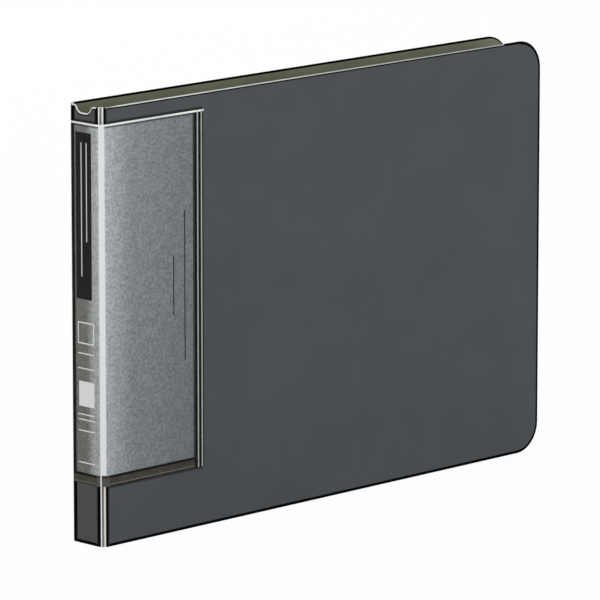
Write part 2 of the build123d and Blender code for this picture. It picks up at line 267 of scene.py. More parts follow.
def calc(tree, operation, first, second=0.0):
    """Result of a Math node."""
    made = add(tree, "Math", {"operation": operation})
    wire(tree, first, made.inputs[0])
    wire(tree, second, made.inputs[1])
    return made.outputs[0]


def any_of(tree, masks):
    """1 where any of the masks is."""
    total = masks[0]
    for mask in masks[1:]:
        total = calc(tree, "MAXIMUM", total, mask)
    return total


def blend_colour(tree, factor, first, second):
    """First colour where the factor is 0, second where it is 1."""
    made = add(tree, "Mix", {"data_type": "RGBA"})
    wire(tree, factor, made.inputs[0])
    wire(tree, first, made.inputs[6])
    wire(tree, second, made.inputs[7])
    return made.outputs[2]


def step_up(tree, value, start, end, low=0.0, high=1.0):
    """Smooth climb from low to high while the value goes from start to end."""
    made = add(tree, "MapRange", {"interpolation_type": "SMOOTHSTEP"}, Value=value)
    for name, number in (("From Min", start), ("From Max", end), ("To Min", low), ("To Max", high)):
        made.inputs[name].default_value = number
    return made.outputs[0]


def band(tree, value, low, high, soft):
    """1 between two limits of the value and 0 outside them."""
    rise = step_up(tree, value, low - soft, low + soft)
    fall = step_up(tree, value, high - soft, high + soft, 1.0, 0.0)
    return calc(tree, "MULTIPLY", rise, fall)


def patch(tree, across, up, across_range, up_range, soft):
    """1 on a rectangle of a printed sheet."""
    return calc(tree, "MULTIPLY", band(tree, across, *across_range, soft), band(tree, up, *up_range, soft))


def noise(tree, place, scale, detail, roughness=0.5):
    """Noise from 0 to 1 at a place."""
    return add(tree, "TexNoise", Vector=place, Scale=scale, Detail=detail, Roughness=roughness).outputs["Fac"]


def piece_axes(tree):
    """The piece's own x, y and z."""
    return add(tree, "SeparateXYZ", Vector=add(tree, "TexCoord").outputs["Object"]).outputs


def sheet_place(tree):
    """Place on a bent sheet laid flat, and its parts across and up."""
    place = add(tree, "UVMap", {"uv_map": "print"}).outputs[0]
    across, up, _ = add(tree, "SeparateXYZ", Vector=place).outputs
    return place, across, up


def grain_group():
    """Fine moulded grain and slow mottling of a plastic sheet, from the piece's own coordinates."""
    group = bpy.data.node_groups.new("sheet_grain", "ShaderNodeTree")
    for name in ("Grain Scale", "Mottle Scale"):
        group.interface.new_socket(name, in_out="INPUT", socket_type="NodeSocketFloat")
    for name in ("Height", "Mottle"):
        group.interface.new_socket(name, in_out="OUTPUT", socket_type="NodeSocketFloat")
    start = group.nodes.new("NodeGroupInput")
    end = group.nodes.new("NodeGroupOutput")
    place = add(group, "TexCoord").outputs["Object"]
    fine = noise(group, place, start.outputs["Grain Scale"], detail=3.0, roughness=0.55)
    slow = noise(group, place, start.outputs["Mottle Scale"], detail=4.0, roughness=0.6)
    wire(group, fine, end.inputs["Height"])
    wire(group, slow, end.inputs["Mottle"])
    return group


GRAIN = grain_group()


def grain(tree, grain_scale, mottle_scale):
    """Height of the grain, and the mottling."""
    made = add(tree, "Group", {"node_tree": GRAIN})
    made.inputs["Grain Scale"].default_value = grain_scale
    made.inputs["Mottle Scale"].default_value = mottle_scale
    return made.outputs["Height"], made.outputs["Mottle"]


# Finishes of the cover sheet
def new_material(name):
    """Material with its node tree and its shader."""
    made = bpy.data.materials.new(name)
    made.use_nodes = True
    return made, made.node_tree, made.node_tree.nodes["Principled BSDF"]


def set_relief(tree, shader, height, depth):
    """Gives a shader a fine relief."""
    bump = add(tree, "Bump", Height=height, Distance=depth)
    wire(tree, bump.outputs["Normal"], shader.inputs["Normal"])


def sheet_plastic(name, dark, light, rough=(0.42, 0.58), grain_scale=3200.0, specular=0.5):
    """Matt sheet plastic: colour and roughness drift slowly, with a fine grain in relief."""
    made, tree, shader = new_material(name)
    height, mottle = grain(tree, grain_scale, mottle_scale=60.0)
    spread = step_up(tree, mottle, *NOISE_SPREAD)
    wire(tree, blend_colour(tree, spread, dark, light), shader.inputs["Base Color"])
    wire(tree, step_up(tree, height, *NOISE_SPREAD, *rough), shader.inputs["Roughness"])
    set_relief(tree, shader, height, SHEET_RELIEF)
    shader.inputs["Specular IOR Level"].default_value = specular
    return made


def ridge_plastic(name, dark, valley_light_colour, crest_highlight_colour):
    """Crease strip: the sheet's plastic, coloured darker as painted shade in the crease, with a painted
    highlight along the crests of its ridges and painted light in part of the valley between them."""
    made, tree, shader = new_material(name)
    height, mottle = grain(tree, grain_scale=2500.0, mottle_scale=90.0)
    crest = add(tree, "Attribute", {"attribute_name": "crest"}).outputs["Fac"]
    valley = add(tree, "Attribute", {"attribute_name": "valley"}).outputs["Fac"]
    wander = calc(tree, "MULTIPLY", calc(tree, "SUBTRACT", mottle, 0.5), CREASE_WANDER)
    # Painted highlight on the ridge crests, and painted light in the far half of the valley
    pale = step_up(tree, calc(tree, "ADD", crest, wander), start=0.45, end=0.8)
    dull = step_up(tree, calc(tree, "ADD", valley, wander), start=0.25, end=0.6)
    colour = blend_colour(tree, dull, dark, valley_light_colour)
    wire(tree, blend_colour(tree, pale, colour, crest_highlight_colour), shader.inputs["Base Color"])
    wire(tree, step_up(tree, pale, 0.0, 1.0, low=0.45, high=0.28), shader.inputs["Roughness"])
    set_relief(tree, shader, height, CREASE_RELIEF)
    return made


def paint_over(material, mask_of, colour):
    """Lays a colour over a material where a mask is 1."""
    tree = material.node_tree
    colour_input = tree.nodes["Principled BSDF"].inputs["Base Color"]
    ground = colour_input.links[0].from_socket
    wire(tree, blend_colour(tree, mask_of(tree), ground, colour), colour_input)


def sleeve_shadow_lines(tree):
    """1 on the painted shadow lines along the sleeve's mouth and, on the front cover, along its foot."""
    x, y, z = piece_axes(tree)
    mouth = band(tree, z, film_high.z - LIP_HEIGHT / 2, film_high.z + SLEEVE_SHADE, SLEEVE_FADE)
    mouth = calc(tree, "MULTIPLY", mouth, calc(tree, "LESS_THAN", y, REAR_SCORE.y))
    foot = band(tree, z, film_low.z - SLEEVE_SHADE, film_low.z + SLEEVE_FADE, SLEEVE_FADE)
    foot = calc(tree, "MULTIPLY", foot, calc(tree, "LESS_THAN", y, FRONT_SCORE.y))
    within = calc(tree, "LESS_THAN", x, FRONT_COVER_SCORE.x + FILM_FRONT_END)
    return calc(tree, "MULTIPLY", any_of(tree, [mouth, foot]), within)


def cut_fade(tree):
    """Grows along a cover's top cut towards the fore edge, and over a short stretch towards the crease; it
    greys the painted highlight there.
    """
    x, _, _ = piece_axes(tree)
    score = FRONT_COVER_SCORE.x
    far = step_up(tree, x, score, BRIGHT_END, 0.0, FAR_GREY)
    near = step_up(tree, x, score + HALF, score + BRIGHT_START, CREASE_GREY, 0.0)
    on_cover = step_up(tree, x, score, score + HALF)
    return any_of(tree, [far, calc(tree, "MULTIPLY", near, on_cover)])


cover_face = sheet_plastic("cover_face", tone(66, 70, 73), tone(70, 74, 77), specular=0.2)
spine_face = sheet_plastic("spine_face", tone(69, 69, 69), tone(73, 73, 73), specular=0.2)
# Painted light: the inner faces, the same plastic as the outside, are coloured a lighter olive for the light
# that falls into the book
lit_cover_lining = sheet_plastic("lit_cover_lining", tone(109, 111, 89), tone(117, 119, 97), rough=(0.5, 0.65))
# Painted highlight: the top cuts of the sheet and the crease strips, and a border beside them, are coloured
# near white for the light they catch
cut_highlight = sheet_plastic(
    "cut_highlight", tone(204, 205, 201), tone(230, 231, 228), rough=(0.35, 0.5), grain_scale=1800.0
)
# Painted shade: near black along the sheet's cut edges and borders, a softer dark beside its score lines
painted_edge_shade = sheet_plastic(
    "painted_edge_shade", tone(8, 8, 9), tone(16, 16, 17), rough=(0.55, 0.7), grain_scale=2400.0, specular=0.0
)
painted_score_shade = sheet_plastic(
    "painted_score_shade", tone(36, 37, 39), tone(46, 47, 49), rough=(0.5, 0.65), grain_scale=2400.0, specular=0.05
)
# Painted shade, highlight and light on the crease strips
crease_face = ridge_plastic("crease_face", tone(26, 26, 27), tone(142, 136, 130), tone(240, 240, 236))
# Painted shadow of the sleeve's edges on the cover
for face_finish in (cover_face, spine_face):
    paint_over(face_finish, sleeve_shadow_lines, tone(20, 20, 21))
# The painted highlight greys towards the fore edge and beside the crease
paint_over(cut_highlight, cut_fade, tone(110, 111, 108))
SHEET_FINISHES = (lit_cover_lining, cut_highlight, painted_edge_shade, painted_score_shade)
FACE, LINING, BRIGHT, DARK, SOFT = range(5)  # a panel's own face, then the sheet's finishes


# Mesh helpers
def plan(panel, along, out):
    """Point at a distance along a panel and a distance out from its middle."""
    start, direction, normal = panel
    return start + direction * along + normal * out


def of_type(geometry, kind):
    """The vertices, edges or faces in some geometry."""
    return [part for part in geometry if isinstance(part, kind)]


def pushed(bm, face, offset):
    """Extrudes a face and returns the moved one."""
    made = bmesh.ops.extrude_face_region(bm, geom=[face])["geom"]
    bmesh.ops.translate(bm, vec=offset, verts=of_type(made, bmesh.types.BMVert))
    return of_type(made, bmesh.types.BMFace)[0]


def pulled(bm, geometry, offset):
    """Extrudes a vertex or an edge and returns the moved end."""
    edges = of_type(geometry, bmesh.types.BMEdge)
    if edges:
        made = bmesh.ops.extrude_edge_only(bm, edges=edges)["geom"]
    else:
        made = bmesh.ops.extrude_vert_indiv(bm, verts=geometry)["verts"]
    verts = of_type(made, bmesh.types.BMVert)
    bmesh.ops.translate(bm, vec=offset, verts=verts)
    far = [edge for edge in of_type(made, bmesh.types.BMEdge) if set(edge.verts) <= set(verts)]
    return verts + far


def spun(bm, geometry, centre, axis, angle, steps):
    """Turns a vertex or an edge round a line and returns the moved end."""
    end = bmesh.ops.spin(
        bm, geom=geometry, cent=centre, axis=axis, dvec=(0, 0, 0), angle=angle, steps=steps, use_merge=False
    )["geom_last"]
    return end if of_type(geometry, bmesh.types.BMEdge) else of_type(end, bmesh.types.BMVert)


def rounded(bm, edges, radius, segments):
    """Rounds some edges."""
    bmesh.ops.bevel(
        bm, geom=edges, offset=radius, segments=segments, profile=0.5, affect="EDGES", material=-1
    )


def merged(bm):
    """Joins the points that lie on each other."""
    bmesh.ops.remove_doubles(bm, verts=bm.verts, dist=MERGE)


def outwards(bm):
    """Turns all faces outwards."""
    bmesh.ops.recalc_face_normals(bm, faces=bm.faces)


def over_ridge(bm, geometry, panel, along, base, width, rise, steps):
    """Goes on over a round ridge of a panel, from its near foot to its far foot."""
    _, direction, normal = panel
    radius = (width**2 / 4 + rise**2) / (2 * rise)
    turn = 2 * math.asin(width / 2 / radius)
    way = -math.copysign(1, direction.cross(normal).z)
    return spun(bm, geometry, plan(panel, along, base + rise - radius), (0, 0, 1), way * turn, steps)


def round_score(bm, geometry, first, second):
    """Goes on round the score line from one panel to the next."""
    angle = math.copysign(FOLD, first[2].cross(second[2]).z)
    return spun(bm, geometry, second[0], (0, 0, 1), angle, SCORE_STEPS)


def piece(name, bm, materials):
    """Object of a finished mesh, smooth except at its sharp and its open edges."""
    mesh = bpy.data.meshes.new(name)
    bm.edges.index_update()
    open_edges = [edge.index for edge in bm.edges if edge.is_boundary]
    bm.to_mesh(mesh)
    bm.free()
    for face in mesh.polygons:
        face.use_smooth = True
    mesh.set_sharp_from_angle(angle=SMOOTH_ANGLE)
    for number in open_edges:
        mesh.edges[number].use_edge_sharp = True
    for material in materials:
        mesh.materials.append(material)
    made = bpy.data.objects.new(name, mesh)
    bpy.context.scene.collection.objects.link(made)
    return made


def main_face(bm, normal):
    """Largest face that looks along a direction."""
    facing = [face for face in bm.faces if face.normal.dot(normal) > FACING]
    return max(facing, key=lambda face: face.calc_area())


def face_rims(bm, normal):
    """Edges round a panel's outer and inner face."""
    return [*main_face(bm, normal).edges, *main_face(bm, -normal).edges]


def inset(bm, face, width):
    """Narrows a face and returns the border round it."""
    return bmesh.ops.inset_region(bm, faces=[face], thickness=width, use_even_offset=True)["faces"]


def cut_across(bm, point, normal):
    """Cuts the mesh along a plane and returns the new vertices."""
    everything = [*bm.verts, *bm.edges, *bm.faces]
    made = bmesh.ops.bisect_plane(bm, geom=everything, dist=MERGE, plane_co=point, plane_no=normal)
    return of_type(made["geom_cut"], bmesh.types.BMVert)


TOP, SCORE, EDGE = "top", "score", "edge"  # the edges of a panel


def bordered(bm, panel, side_of, bright_width):
    """Borders both faces of a panel and its top cut; side_of tells which edge a place belongs to."""
    start, _, normal = panel
    cut_across(bm, start, normal)
    for face in bm.faces:
        centre = face.calc_center_median()
        outside = (centre - start).dot(normal) > 0
        face.material_index = BRIGHT if outside and side_of(centre) == TOP else DARK
    outer = main_face(bm, normal)
    inner = main_face(bm, -normal)
    # Rings of painted highlight along the top cut, and of painted shade inside it, along the other edges and
    # beside the score line
    rims = (
        (bright_width, {TOP: BRIGHT, SCORE: DARK, EDGE: DARK}),
        (DARK_RIM, {TOP: DARK, SCORE: SOFT, EDGE: DARK}),
        (EDGE_SHADE, {TOP: FACE, SCORE: FACE, EDGE: DARK}),
    )
    for width, finishes in rims:
        for face in inset(bm, outer, width):
            face.material_index = finishes[side_of(face.calc_center_median())]
    # Painted shade round the inner face
    for face in inset(bm, inner, DARK_RIM):
        face.material_index = DARK
    outer.material_index = FACE
    inner.material_index = LINING


# Cover sheet
def cover_board(name, panel, bright_top):
    """Cover with rounded corners at the fore edge and a beveled nose at its score line."""
    bm = bmesh.new()
    reach = FORE_EDGE - panel[0].x
    profile = ((0, 0), (NOSE, HALF), (reach, HALF), (reach, -HALF), (NOSE, -HALF))
    base = bm.faces.new([bm.verts.new(plan(panel, along, out)) for along, out in profile])
    pushed(bm, base, (0, 0, COVER_HEIGHT))
    outwards(bm)
    corners = [
        edge for edge in bm.edges
        if all(abs(vert.co.x - FORE_EDGE) < EDGE_ROUND for vert in edge.verts)
        and abs(edge.verts[0].co.y - edge.verts[1].co.y) > HALF
    ]
    rounded(bm, corners, CORNER_RADIUS, CORNER_STEPS)
    near_score = panel[0].x + NOSE + RIMS
    rims = [edge for edge in face_rims(bm, panel[2]) if max(vert.co.x for vert in edge.verts) > near_score]
    rounded(bm, rims, EDGE_ROUND, COVER_EDGE_STEPS)

    def side_of(centre):
        if centre.x < near_score:
            return SCORE
        on_top = centre.z > COVER_HEIGHT - 2 * HALF and centre.x < FORE_EDGE - CORNER_RADIUS
        return TOP if bright_top and on_top else EDGE

    bordered(bm, panel, side_of, BRIGHT_RIM)
    # Past its end, the painted highlight on the top cut gives way to painted shade
    cut_across(bm, (BRIGHT_END, 0, 0), (1, 0, 0))
    for face in bm.faces:
        if face.material_index == BRIGHT and face.calc_center_median().x > BRIGHT_END:
            face.material_index = DARK
    outwards(bm)
    return piece(name, bm, (cover_face, *SHEET_FINISHES))


def notch_line(bm):
    """Vertices of the finger notch's outline on the spine's outer face, from front to rear."""
    run = (NOTCH_WIDTH - NOTCH_FLOOR) / 2
    bottom_radius = (run**2 + NOTCH_DEPTH**2) / (2 * NOTCH_DEPTH) - NOTCH_SHOULDER
    turn = 2 * math.atan(NOTCH_DEPTH / run)
    shoulder_z = COVER_HEIGHT - NOTCH_SHOULDER
    bottom_z = COVER_HEIGHT - NOTCH_DEPTH + bottom_radius

    def at(y, z):
        return Vector((SPINE_FACE, MIDDLE_Y + y, z))

    end = [bm.verts.new(at(-NOTCH_WIDTH / 2, COVER_HEIGHT))]
    end = spun(bm, end, at(-NOTCH_WIDTH / 2, shoulder_z), (1, 0, 0), -turn, SHOULDER_STEPS)
    end = spun(bm, end, at(-NOTCH_FLOOR / 2, bottom_z), (1, 0, 0), turn, NOTCH_STEPS)
    end = pulled(bm, end, (0, NOTCH_FLOOR, 0))
    end = spun(bm, end, at(NOTCH_FLOOR / 2, bottom_z), (1, 0, 0), turn, NOTCH_STEPS)
    spun(bm, end, at(NOTCH_WIDTH / 2, shoulder_z), (1, 0, 0), -turn, SHOULDER_STEPS)
    merged(bm)
    return sorted(bm.verts, key=lambda vert: vert.co.y)


def spine_board(name):
    """Spine with the finger notch in its top edge and a nose on each of its score lines."""
    bm = bmesh.new()
    line = notch_line(bm)
    front_side, rear_side = FRONT_SCORE.y + NOSE, REAR_SCORE.y - NOSE
    corners = ((rear_side, COVER_HEIGHT), (rear_side, 0), (front_side, 0), (front_side, COVER_HEIGHT))
    line += [bm.verts.new((SPINE_FACE, y, z)) for y, z in corners]
    pushed(bm, bm.faces.new(line), (2 * HALF, 0, 0))
    for vert in cut_across(bm, FRONT_SCORE, (1, 0, 0)):
        if vert.co.y < front_side + EDGE_ROUND:
            vert.co.y -= NOSE
        elif vert.co.y > rear_side - EDGE_ROUND:
            vert.co.y += NOSE
    outwards(bm)

    def is_upright(edge):
        return abs(edge.verts[0].co.z - edge.verts[1].co.z) > COVER_HEIGHT / 2

    rims = [edge for edge in face_rims(bm, SPINE[2]) if not is_upright(edge)]
    rounded(bm, rims, EDGE_ROUND, SPINE_EDGE_STEPS)

    def side_of(centre):
        if centre.z > COVER_HEIGHT - NOTCH_DEPTH - EDGE_ROUND - RIMS:
            return TOP
        return SCORE if abs(centre.y - front_side) < RIMS else EDGE

    bordered(bm, SPINE, side_of, NOTCH_RIM)
    # Painted shade along the spine's rear edge
    shade_start = rear_side - REAR_SHADE
    cut_across(bm, (0, shade_start, 0), (0, 1, 0))
    for face in bm.faces:
        if face.material_index == FACE and face.calc_center_median().y > shade_start:
            face.material_index = DARK
    outwards(bm)
    return piece(name, bm, (spine_face, *SHEET_FINISHES))


def crease_ridges(name, panel):
    """Strip between two score lines with two round ridges along its outer face."""
    bm = bmesh.new()
    crest_layer = bm.verts.layers.float.new("crest")
    valley_layer = bm.verts.layers.float.new("valley")
    valley = HALF - RIDGE_DEPTH
    near = SCORE_GAP + valley * math.tan(FOLD / 2)
    first = near + RIDGE_WIDTH / 2
    second = STRIP_WIDTH - first
    end = [bm.verts.new(plan(panel, near, valley))]
    end = over_ridge(bm, end, panel, first, valley, RIDGE_WIDTH, RIDGE_DEPTH, RIDGE_STEPS)
    end = pulled(bm, end, panel[1] * (second - first - RIDGE_WIDTH))
    over_ridge(bm, end, panel, second, valley, RIDGE_WIDTH, RIDGE_DEPTH, RIDGE_STEPS)
    merged(bm)
    line = sorted(bm.verts, key=lambda vert: (vert.co - panel[0]).dot(panel[1]))
    for vert in line:
        vert[crest_layer] = ((vert.co - panel[0]).dot(panel[2]) - valley) / RIDGE_DEPTH
        vert[valley_layer] = 1.0 if (vert.co - panel[0]).dot(panel[1]) > STRIP_WIDTH / 2 else 0.0
    far = STRIP_WIDTH - SCORE_GAP
    back = ((far, 0), (far - NOSE, -HALF), (SCORE_GAP + NOSE, -HALF), (SCORE_GAP, 0))
    line += [bm.verts.new(plan(panel, along, out)) for along, out in back]
    top = pushed(bm, bm.faces.new(line), (0, 0, COVER_HEIGHT))
    outwards(bm)
    # Painted highlight on the strip's top cut
    top.material_index = 1
    return piece(name, bm, (crease_face, cut_highlight))


front_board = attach(cover_board("front_cover_board", FRONT, True), "front_cover")
rear_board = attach(cover_board("rear_cover_board", REAR, False), "rear_cover")
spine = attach(spine_board("spine_board"), "spine")
front_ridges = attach(crease_ridges("front_crease_ridges", FRONT_STRIP), "front_crease")
rear_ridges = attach(crease_ridges("rear_crease_ridges", REAR_STRIP), "rear_crease")
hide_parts("front_cover")
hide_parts("rear_cover")
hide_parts("spine_panel")
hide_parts("front_crease_strip")
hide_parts("rear_crease_strip")


# Sheets bent round the front corner
def unrolled(point, out):
    """Distance along a bent sheet from the middle of the crease strip, less than 0 towards the spine."""
    arc = out * FOLD
    on_spine = (point - FRONT_SCORE).dot(SPINE[1])
    on_front = (point - FRONT_COVER_SCORE).dot(FRONT[1])
    on_strip = (point - FRONT_SCORE).dot(FRONT_STRIP[1])
    if on_spine >= 0:
        return -(STRIP_WIDTH / 2 + arc + on_spine)
    if on_front >= 0:
        return STRIP_WIDTH / 2 + arc + on_front
    if 0 <= on_strip <= STRIP_WIDTH:
        return on_strip - STRIP_WIDTH / 2
    score = FRONT_SCORE if on_strip < 0 else FRONT_COVER_SCORE
    spoke = (point - score).to_2d()
    turn = FRONT_STRIP[2].to_2d().angle(spoke)
    return math.copysign(STRIP_WIDTH / 2 + out * turn, on_strip)


def print_map(bm, out):
    """UV map in metres on the sheet laid flat: across from the crease strip's middle, and up."""
    layer = bm.loops.layers.uv.new("print")
    for face in bm.faces:
        for loop in face.loops:
            flat_point = Vector((loop.vert.co.x, loop.vert.co.y, 0))
            loop[layer].uv = (unrolled(flat_point, out), loop.vert.co.z)


def upright_edge(bm, point, low, high):
    """Edge that a sheet is drawn out from."""
    ends = [bm.verts.new(point + Vector((0, 0, z))) for z in (low, high)]
    return [*ends, bm.edges.new(ends)]


def end_strips(bend):
    """Widths of the strips at one end of a flat: several beside a bend, or one narrow support strip."""
    return [bend / BEND_STEPS] * BEND_STEPS if bend else [SUPPORT]


def flat_run(bm, end, way, length, near_bend=0.0, far_bend=0.0):
    """Goes on straight, with finer strips where a bend at one of its ends also turns part of the flat."""
    near, far = end_strips(near_bend), end_strips(far_bend)
    for stretch in (*near, length - sum(near) - sum(far), *far):
        end = pulled(bm, end, way * stretch)
    return end


def spine_half(spine_end, out, low, high):
    """Sheet from the rear of the spine round the first score line to the middle of the crease strip."""
    bm = bmesh.new()
    bend = out * BEND_SIDE
    end = upright_edge(bm, plan(SPINE, spine_end, out), low, high)
    end = flat_run(bm, end, -SPINE[1], spine_end, far_bend=bend)
    end = round_score(bm, end, SPINE, FRONT_STRIP)
    flat_run(bm, end, FRONT_STRIP[1], STRIP_WIDTH / 2, near_bend=bend)
    return bm


def front_half(front_end, out, low, high, ridges):
    """Sheet from the middle of the crease strip round the second score line and over the front cover."""
    bm = bmesh.new()
    bend = out * BEND_SIDE
    end = upright_edge(bm, plan(FRONT_STRIP, STRIP_WIDTH / 2, out), low, high)
    end = flat_run(bm, end, FRONT_STRIP[1], STRIP_WIDTH / 2, far_bend=bend)
    end = round_score(bm, end, FRONT_STRIP, FRONT)
    reached = 0.0
    for along in ridges:
        end = flat_run(bm, end, FRONT[1], along - WELD_RIDGE_WIDTH / 2 - reached, near_bend=bend)
        end = over_ridge(bm, end, FRONT, along, out, WELD_RIDGE_WIDTH, WELD_RIDGE, WELD_RIDGE_STEPS)
        reached = along + WELD_RIDGE_WIDTH / 2
        bend = 0.0
    flat_run(bm, end, FRONT[1], front_end - reached, near_bend=bend)
    return bm


def bent_piece(name, bm, out, thickness, materials):
    """Finishes a bent sheet. A second material is for its back and its cut edges."""
    merged(bm)
    heights = [vert.co.z for vert in bm.verts]
    for level in (min(heights) + SUPPORT, max(heights) - SUPPORT):
        cut_across(bm, (0, 0, level), (0, 0, 1))
    outwards(bm)
    print_map(bm, out)
    made = piece(name, bm, materials)
    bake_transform(made)
    body = made.modifiers.new("thickness", "SOLIDIFY")
    body.thickness = thickness
    body.offset = 0.0
    if len(materials) > 1:
        body.material_offset = 1
        body.material_offset_rim = 1
    return made


def bent_pair(name, spine_end, front_end, out, heights, thickness, materials, ridges=()):
    """The two halves of a bent sheet."""
    first = bent_piece(
        f"{name}_spine_half", spine_half(spine_end, out, *heights), out, thickness, materials,
    )
    second = bent_piece(
        f"{name}_front_half", front_half(front_end, out, *heights, ridges), out, thickness, materials,
    )
    return first, second


# Label
def on_spine_print(along):
    """Place on the label laid flat, from millimetres along the spine."""
    return -(LABEL_FLAT + along * MM)


def on_front_print(along):
    """The same, from millimetres along the front."""
    return LABEL_FLAT + along * MM


def printed(tree, across, up, along, heights, on_print=on_spine_print):
    """1 on a rectangle printed on the spine or the front, with its limits in millimetres."""
    ends = sorted((on_print(along[0]), on_print(along[1])))
    return patch(tree, across, up, ends, (heights[0] * MM, heights[1] * MM), PRINT_SOFT)


def framed(tree, across, up, box):
    """1 on the outline of a rectangle printed on the spine."""
    (near, far), (low, high) = box
    inner_along = (near + FRAME_LINE, far - FRAME_LINE)
    inner_heights = (low + FRAME_LINE, high - FRAME_LINE)
    whole = printed(tree, across, up, *box)
    return calc(tree, "SUBTRACT", whole, printed(tree, across, up, inner_along, inner_heights))


def around(middle, width):
    """Limits of a line of some width."""
    return middle - width / 2, middle + width / 2


def card_tone(tree, across):
    """Grey of the plain card, with painted light: paler at the fold, darker away from it."""
    near_fade = step_up(tree, across, *map(on_front_print, NEAR_FADE))
    far_fade = step_up(tree, across, *map(on_front_print, FAR_FADE))
    front_tone = blend_colour(tree, near_fade, tone(168, 174, 177), tone(126, 131, 134))
    front_tone = blend_colour(tree, far_fade, front_tone, tone(113, 117, 120))
    spine_fade = step_up(tree, across, *map(on_spine_print, SPINE_FADE))
    spine_tone = blend_colour(tree, spine_fade, tone(112, 114, 109), tone(164, 167, 166))
    is_front = step_up(tree, across, -TONE_SOFT, TONE_SOFT)
    return blend_colour(tree, is_front, spine_tone, front_tone)


def card_light_and_shadows(tree, across, colour):
    """Adds the painted highlight on the fold and the painted shadows at the rear and far edges to the card's
    colour.
    """
    # Painted highlight on the fold
    colour = blend_colour(tree, band(tree, across, *FOLD_HIGHLIGHT, FOLD_SOFT), colour, tone(226, 230, 231))
    # Painted shadow along the label's rear and far edges
    rear_shadow = step_up(tree, across, *map(on_spine_print, REAR_SHADOW))
    far_shadow = step_up(tree, across, *map(on_front_print, FAR_SHADOW))
    return blend_colour(tree, any_of(tree, [rear_shadow, far_shadow]), colour, tone(8, 8, 8))


def card_print(tree, across, up, colour):
    """Adds a dark title strip, blank boxes and rules."""
    dark = [printed(tree, across, up, *TITLE_STRIP)]
    for along, heights in FRONT_RULES:
        dark.append(printed(tree, across, up, around(along, DARK_RULE), heights, on_front_print))
    colour = blend_colour(tree, any_of(tree, dark), colour, tone(20, 19, 20))
    light = [printed(tree, across, up, *LABEL_SQUARE), framed(tree, across, up, NUMBER_BOX)]
    for along, heights in TITLE_RULES:
        light.append(printed(tree, across, up, around(along, LIGHT_RULE), heights))
    for height in SHORT_RULES:
        light.append(printed(tree, across, up, NUMBER_BOX[0], around(height, LIGHT_RULE)))
    return blend_colour(tree, any_of(tree, light), colour, tone(228, 229, 228))


def label_paper():
    """Silver grey card: mottled and printed, with painted light paler at the fold and the top and painted
    shade under the sleeve's mouth.
    """
    made, tree, shader = new_material("label_paper")
    place, across, up = sheet_place(tree)
    fibre = noise(tree, place, scale=950.0, detail=3.0, roughness=0.55)
    cloud = noise(tree, place, scale=260.0, detail=3.0, roughness=0.6)
    fine = calc(tree, "MULTIPLY", fibre, FIBRE_SHARE)
    slow = calc(tree, "MULTIPLY", cloud, CLOUD_SHARE)
    speck = step_up(tree, calc(tree, "ADD", fine, slow), *SPECK_SPREAD, *SPECK)
    # Painted shade under the sleeve's mouth
    shade_start, shade_end = (label_high.z - below for below in MOUTH_SHADE)
    under_mouth = step_up(tree, up, shade_start, shade_end, 1.0, MOUTH_DIM)
    # Painted light: brighter towards the top
    top_light = step_up(tree, up, label_low.z, label_high.z, FOOT_DIM, TOP_GAIN)
    shade = calc(tree, "MULTIPLY", calc(tree, "MULTIPLY", speck, under_mouth), top_light)
    shaded = add(tree, "VectorMath", {"operation": "SCALE"}, Vector=card_tone(tree, across), Scale=shade)
    colour = card_light_and_shadows(tree, across, shaded.outputs[0])
    wire(tree, card_print(tree, across, up, colour), shader.inputs["Base Color"])
    wire(tree, step_up(tree, speck, *SPECK, low=0.6, high=0.45), shader.inputs["Roughness"])
    shader.inputs["Specular IOR Level"].default_value = 0.08
    set_relief(tree, shader, fibre, CARD_RELIEF)
    return made


paper = label_paper()
paper_cut = sheet_plastic(
    "paper_cut", tone(190, 190, 186), tone(225, 225, 220), rough=(0.7, 0.85), grain_scale=1500.0
)
label_spine_half, label_front_half = bent_pair(
    "label", LABEL_SPINE_END, LABEL_FRONT_END, LABEL_OUT, (label_low.z, label_high.z), LABEL_THICKNESS,
    (paper, paper_cut),
)
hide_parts("label_spine", "label_fold")
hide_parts("label_front", "label_fold")


# Sleeve
def film_gloss(tree, shader, emboss, relief, haze):
    """Clear film: what lies behind shows through under a thin haze, which grows at a glancing view as a
    painted reflection. Returns how much the film hides."""
    wire(tree, step_up(tree, emboss, *NOISE_SPREAD, *FILM_ROUGHNESS), shader.inputs["Roughness"])
    set_relief(tree, shader, relief, FILM_RELIEF)
    # The haze's growth at a glancing view is a painted reflection
    glancing = add(tree, "LayerWeight", Blend=0.5).outputs["Facing"]
    return step_up(tree, glancing, *GLANCING, haze, GLANCING_REFLECTION)


def base_shadow_line(tree, up):
    """1 on the black painted shadow line along the top of the base weld."""
    line_low = BASE_WELD_TOP - BASE_LINE
    return step_up(tree, up, line_low - LINE_SOFT, line_low + LINE_SOFT)


